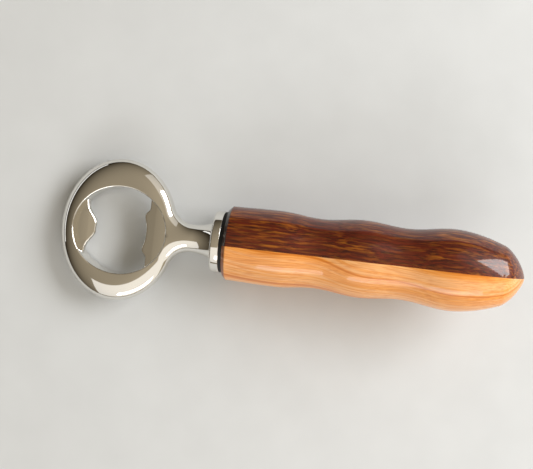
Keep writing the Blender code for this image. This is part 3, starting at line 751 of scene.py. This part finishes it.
def paint_end_shade(tree, tone, deep):
    """Darken the first 1.2 mm of the wood, its end chamfer beside the flange, with painted shade."""
    along = node(tree, "ShaderNodeSeparateXYZ", {0: bench_millimetres(tree)})
    share = node(tree, "ShaderNodeMapRange", {
        "Value": along.outputs["X"], "From Min": 0.8, "From Max": 1.3, "To Min": 0.9, "To Max": 0.0})
    return node(tree, "ShaderNodeMix", {0: share.outputs["Result"], 6: tone.outputs[2], 7: deep}, data_type="RGBA")


def dark_wood_finish(colours):
    """Rosewood-like hardwood, turned, sanded and lacquered.

    Its ground is deep red brown. Dark pore streaks run 12 mm along the grain and 0.45 mm across it, and golden
    flecks 9 by 0.9 mm gather in clouds.
    """
    material, tree, shader = start_material("Lacquered rosewood")
    place = swayed(tree, bench_millimetres(tree), 3.0, 34.0)
    streaks = node(tree, "ShaderNodeTexNoise", {
        "Vector": stretched(tree, place, 12.0, 0.45), "Scale": 1.0, "Detail": 4.0, "Roughness": 0.65})
    flecks = node(tree, "ShaderNodeTexNoise", {
        "Vector": stretched(tree, place, 9.0, 0.9), "Scale": 1.0, "Detail": 3.0, "Roughness": 0.6})
    clouds = node(tree, "ShaderNodeTexNoise", {
        "Vector": stretched(tree, place, 22.0, 6.0), "Scale": 1.0, "Detail": 2.0})
    ground = node(tree, "ShaderNodeValToRGB", {"Fac": streaks.outputs["Fac"]},
                  stops=((0.36, colours.dark_line), (0.6, colours.dark_ground)))
    glow = node(tree, "ShaderNodeMapRange", {
        "Value": flecks.outputs["Fac"], "From Min": 0.47, "From Max": 0.72, "To Min": 0.0, "To Max": 1.0})
    gather = node(tree, "ShaderNodeMapRange", {
        "Value": clouds.outputs["Fac"], "From Min": 0.36, "From Max": 0.62, "To Min": 0.15, "To Max": 1.0})
    gold = node(tree, "ShaderNodeMath", {0: glow.outputs["Result"], 1: gather.outputs["Result"]},
                operation="MULTIPLY")
    tone = node(tree, "ShaderNodeMix", {0: gold.outputs["Value"], 6: ground.outputs["Color"], 7: colours.dark_gold},
                data_type="RGBA")
    # Painted shade on the end chamfer beside the flange.
    tone = paint_end_shade(tree, tone, colours.dark_end_shade)
    set_shader(shader, Roughness=0.42, Base_Color=tone.outputs[2])
    lacquer(tree, shader, streaks.outputs["Fac"], 0.25, 0.75)
    return material


def light_wood_finish(colours):
    """Yew-like softwood, turned, sanded and lacquered.

    Its ground is warm orange tan. Growth layers about 3 mm apart lie slanting to the glue plane and sway
    along the handle, each ending in a thin darker line, and fine streaks 15 mm long and 0.5 mm across lie
    between them.
    """
    material, tree, shader = start_material("Lacquered yew")
    place = swayed(tree, bench_millimetres(tree), 7.0, 46.0)
    parts = node(tree, "ShaderNodeVectorMath", {0: place, 1: (0.03, 0.2, 0.26)}, operation="DOT_PRODUCT")
    layers = node(tree, "ShaderNodeTexNoise", {"W": parts.outputs["Value"], "Scale": 1.0, "Detail": 3.0,
                                               "Roughness": 0.55}, noise_dimensions="1D")
    streaks = node(tree, "ShaderNodeTexNoise", {
        "Vector": stretched(tree, place, 15.0, 0.5), "Scale": 1.0, "Detail": 4.0, "Roughness": 0.6})
    ground = node(tree, "ShaderNodeValToRGB", {"Fac": layers.outputs["Fac"]},
                  stops=((0.3, colours.light_line), (0.41, colours.light_ground), (0.56, colours.light_pale),
                         (0.66, colours.light_ground)))
    fine = node(tree, "ShaderNodeMapRange", {
        "Value": streaks.outputs["Fac"], "From Min": 0.36, "From Max": 0.6, "To Min": 0.45, "To Max": 0.0})
    tone = node(tree, "ShaderNodeMix", {0: fine.outputs["Result"], 6: ground.outputs["Color"], 7: colours.light_line},
                data_type="RGBA")
    # Painted shade on the end chamfer beside the flange.
    tone = paint_end_shade(tree, tone, colours.light_end_shade)
    set_shader(shader, Roughness=0.4, Base_Color=tone.outputs[2])
    lacquer(tree, shader, streaks.outputs["Fac"], 0.15, 0.75)
    return material


def paper_finish(colours):
    """Matt paper: pale, with a faint cloudy tooth."""
    material, tree, shader = start_material("Matt paper")
    place = node(tree, "ShaderNodeTexCoord")
    tooth = node(tree, "ShaderNodeTexNoise", {"Vector": place.outputs["Object"], "Scale": 60.0, "Detail": 2.0})
    pale = [min(1.0, 1.02 * channel) for channel in colours.floor]
    deep = [0.98 * channel for channel in colours.floor]
    tone = node(tree, "ShaderNodeValToRGB", {"Fac": tooth.outputs["Fac"]}, stops=((0.3, deep), (0.7, pale)))
    set_shader(shader, Roughness=0.85, Base_Color=tone.outputs["Color"])
    return material


# ---------------------------------------------------------------- stage

def add_softbox(name, azimuth, elevation, distance, width, height, power):
    """Aim a rectangular softbox at the object from an azimuth (from +X towards +Y) and an elevation."""
    lamp = bpy.data.lights.new(name, "AREA")
    lamp.shape = "RECTANGLE"
    lamp.size, lamp.size_y, lamp.energy = width, height, power
    way = Vector((math.cos(math.radians(azimuth)) * math.cos(math.radians(elevation)),
                  math.sin(math.radians(azimuth)) * math.cos(math.radians(elevation)),
                  math.sin(math.radians(elevation))))
    holder = bpy.data.objects.new(name, lamp)
    holder.location = way * distance
    holder.rotation_euler = (-way).to_track_quat("-Z", "Y").to_euler()
    bpy.context.scene.collection.objects.link(holder)


def light_room(colours):
    """Light the room: a warm ambience that darkens away from the bright way, and five softboxes.

    Two wide boxes, across the handle and beyond its tip, put broad bands on the rounded flanks. Each has a
    small brighter one before it for the lacquer's highlights, and a low strip draws lines along the rims.
    """
    scene = bpy.context.scene
    world = scene.world or bpy.data.worlds.new("Room")
    scene.world = world
    world.use_nodes = True
    tree = world.node_tree
    way = node(tree, "ShaderNodeTexCoord")
    facing = node(tree, "ShaderNodeVectorMath", {0: way.outputs["Generated"], 1: BRIGHT_WAY},
                  operation="DOT_PRODUCT")
    share = node(tree, "ShaderNodeMapRange", {
        "Value": facing.outputs["Value"], "From Min": -0.45, "From Max": 0.7, "To Min": 0.0, "To Max": 1.0})
    tone = node(tree, "ShaderNodeMix", {0: share.outputs["Result"], 6: colours.room_shade, 7: colours.room},
                data_type="RGBA")
    tree.links.new(tone.outputs[2], tree.nodes["Background"].inputs["Color"])
    for softbox in SOFTBOXES:
        add_softbox(*softbox)


def add_camera():
    """Look down on the opener from above the neck, a little tipped, with the handle sloping to the right."""
    ring = Vector(ORIGIN + np.array(RING_REFERENCE) @ BENCH)
    eye = ring + Vector(EYE_FROM_RING)
    right = Vector((math.cos(CAMERA_ROLL), math.sin(CAMERA_ROLL), 0.0))
    up = Vector((-math.sin(CAMERA_ROLL), math.cos(CAMERA_ROLL), 0.0))
    aim = ring + right * AIM_RIGHT - up * AIM_DOWN
    back = (eye - aim).normalized()
    side = up.cross(back).normalized()
    turn = Matrix((side, back.cross(side), back)).transposed()
    camera = bpy.data.cameras.new("camera")
    camera.sensor_width = 36.0
    camera.lens = CAMERA_LENS
    camera.clip_start, camera.clip_end = 0.01, 10.0
    holder = bpy.data.objects.new("camera", camera)
    holder.matrix_world = Matrix.Translation(eye) @ turn.to_4x4()
    bpy.context.scene.collection.objects.link(holder)
    bpy.context.scene.camera = holder


# ---------------------------------------------------------------- operators

class OPENER_OT_head(bpy.types.Operator):
    """Make the cast head: ring with two lips, neck and flange"""

    bl_idname = "opener.head"
    bl_label = "Cast Head"

    def execute(self, context):
        head = context.scene.opener_head
        casting = casting_mesh(head)
        near = lip_mesh("near_lip", head, 1.0, head.near_width, near_edge(head), head.near_crease,
                        head.near_tooth, NEAR_EDGE_ROUND)
        far = lip_mesh("far_lip", head, -1.0, head.far_width, far_edge(head), head.far_crease,
                       head.far_nose, FAR_EDGE_ROUND)
        mesh = join_solids(casting, near, far)
        mesh.name = "cast_head"
        add_piece("cast_head", mesh, chrome_finish(context.scene.opener_colours), "head", "opener_head",
                  crease=30.0)
        return {"FINISHED"}


class OPENER_OT_stud(bpy.types.Operator):
    """Make the threaded steel stud that joins head and handle"""

    bl_idname = "opener.stud"
    bl_label = "Steel Stud"

    def execute(self, context):
        mesh = stud_mesh(context.scene.opener_thread)
        add_piece("steel_stud", mesh, steel_finish(context.scene.opener_colours), "head", "threaded_stud",
                  crease=40.0)
        return {"FINISHED"}


class OPENER_OT_washer(bpy.types.Operator):
    """Make the washer between flange and wood, black as painted shade of their joint"""

    bl_idname = "opener.washer"
    bl_label = "Joint Shade Washer"

    def execute(self, context):
        # The washer's black finish is painted shade of the joint between flange and wood.
        mesh = washer_mesh(context.scene.opener_thread)
        add_piece("joint_shade_washer", mesh, joint_shade_finish(context.scene.opener_colours), "washer", "flange_washer")
        return {"FINISHED"}


class OPENER_OT_insert(bpy.types.Operator):
    """Make the threaded brass insert glued in the wood"""

    bl_idname = "opener.insert"
    bl_label = "Brass Insert"

    def execute(self, context):
        mesh = insert_mesh(context.scene.opener_thread)
        add_piece("brass_insert", mesh, brass_finish(context.scene.opener_colours), "handle", "threaded_insert",
                  crease=40.0)
        return {"FINISHED"}


class OPENER_OT_handle(bpy.types.Operator):
    """Make the two glued woods of the turned handle"""

    bl_idname = "opener.handle"
    bl_label = "Turned Handle"

    def execute(self, context):
        handle = context.scene.opener_handle
        colours = context.scene.opener_colours
        bore = context.scene.opener_thread.insert_radius + GLUE_GAP
        dark = half_handle_mesh("dark_wood_half", handle, 1.0, bore)
        add_piece("dark_wood_half", dark, dark_wood_finish(colours), "handle", "handle_dark_half")
        light = half_handle_mesh("light_wood_half", handle, -1.0, bore)
        add_piece("light_wood_half", light, light_wood_finish(colours), "handle", "handle_light_half")
        return {"FINISHED"}


class OPENER_OT_stage(bpy.types.Operator):
    """Make the pale floor, the lights and the camera"""

    bl_idname = "opener.stage"
    bl_label = "Stage"

    def execute(self, context):
        colours = context.scene.opener_colours
        line = np.linspace(-1.5, 1.5, 9)
        points, faces = grid(line[None, :], line[:, None], np.zeros((9, 9)))
        mesh = bpy.data.meshes.new("floor")
        mesh.from_pydata(points.tolist(), [], faces.tolist())
        mesh.materials.append(paper_finish(colours))
        floor = bpy.data.objects.new("floor", mesh)
        context.scene.collection.objects.link(floor)
        light_room(colours)
        add_camera()
        context.scene.view_settings.view_transform = "Standard"
        return {"FINISHED"}


STEPS = (OPENER_OT_head, OPENER_OT_stud, OPENER_OT_washer, OPENER_OT_insert, OPENER_OT_handle, OPENER_OT_stage)
GROUPS = {
    "opener_head": OpenerHeadSizes,
    "opener_handle": OpenerHandleSizes,
    "opener_thread": OpenerThreadSizes,
    "opener_colours": OpenerColours,
}


class OPENER_PT_panel(bpy.types.Panel):
    """List the opener's sizes, colours and building steps"""

    bl_idname = "OPENER_PT_panel"
    bl_label = "Bottle Opener"
    bl_space_type = "VIEW_3D"
    bl_region_type = "UI"
    bl_category = "Opener"

    def draw(self, context):
        layout = self.layout
        for name, group in GROUPS.items():
            box = layout.box()
            box.label(text=group.__doc__)
            for prop in group.__annotations__:
                box.prop(getattr(context.scene, name), prop)
        for step in STEPS:
            layout.operator(step.bl_idname)


def register():
    """Register the groups, the operators and the panel."""
    for name, group in GROUPS.items():
        bpy.utils.register_class(group)
        setattr(bpy.types.Scene, name, PointerProperty(type=group))
    for step in STEPS + (OPENER_PT_panel,):
        bpy.utils.register_class(step)


def unregister():
    """Take everything that register added away again."""
    for step in (OPENER_PT_panel,) + STEPS[::-1]:
        bpy.utils.unregister_class(step)
    for name, group in GROUPS.items():
        delattr(bpy.types.Scene, name)
        bpy.utils.unregister_class(group)


def main():
    register()
    bpy.ops.opener.head()
    bpy.ops.opener.stud()
    bpy.ops.opener.washer()
    bpy.ops.opener.insert()
    bpy.ops.opener.handle()
    bpy.ops.opener.stage()


if __name__ == "__main__":
    main()
